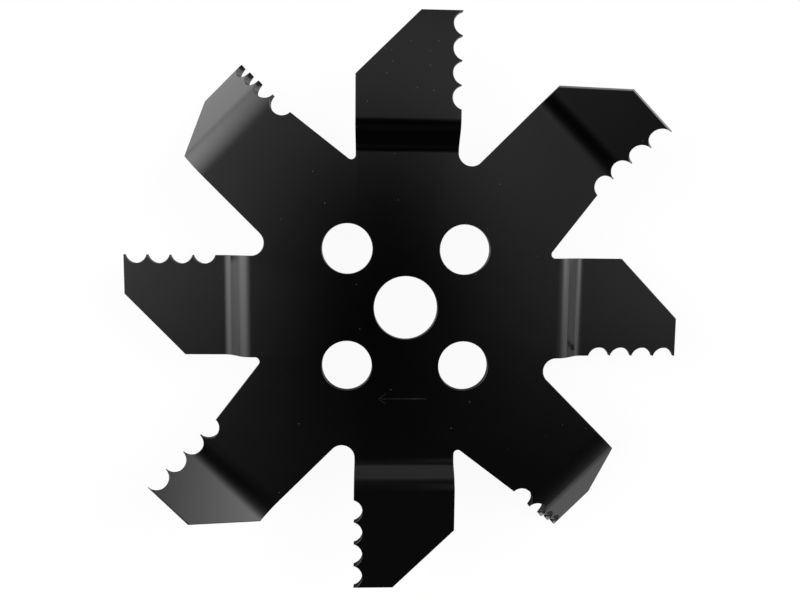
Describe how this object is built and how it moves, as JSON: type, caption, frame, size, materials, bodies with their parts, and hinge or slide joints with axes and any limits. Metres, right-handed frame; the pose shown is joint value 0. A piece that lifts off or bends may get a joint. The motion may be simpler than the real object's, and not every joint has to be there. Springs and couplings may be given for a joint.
{
  "type": "brush cutter mulching blade",
  "caption": "Pressed steel star blade with a standard bore, toothed leading edges, offset straight arms and angled arms with bent tips, for shredding brush and tall growth.",
  "frame": {"origin": "on the bore's axis, at the middle of the hub's sheet thickness", "axes": "+Z along the bore out of the face that the picture shows, +Y along a straight arm that is offset towards +Z, +X along a straight arm that is offset towards -Z"},
  "size_m": [0.226, 0.226, 0.0334],
  "materials": {
    "paint": "gloss"
  },
  "bodies": {
    "root": {"mulching_blade": "paint"}
  },
  "joints": []
}
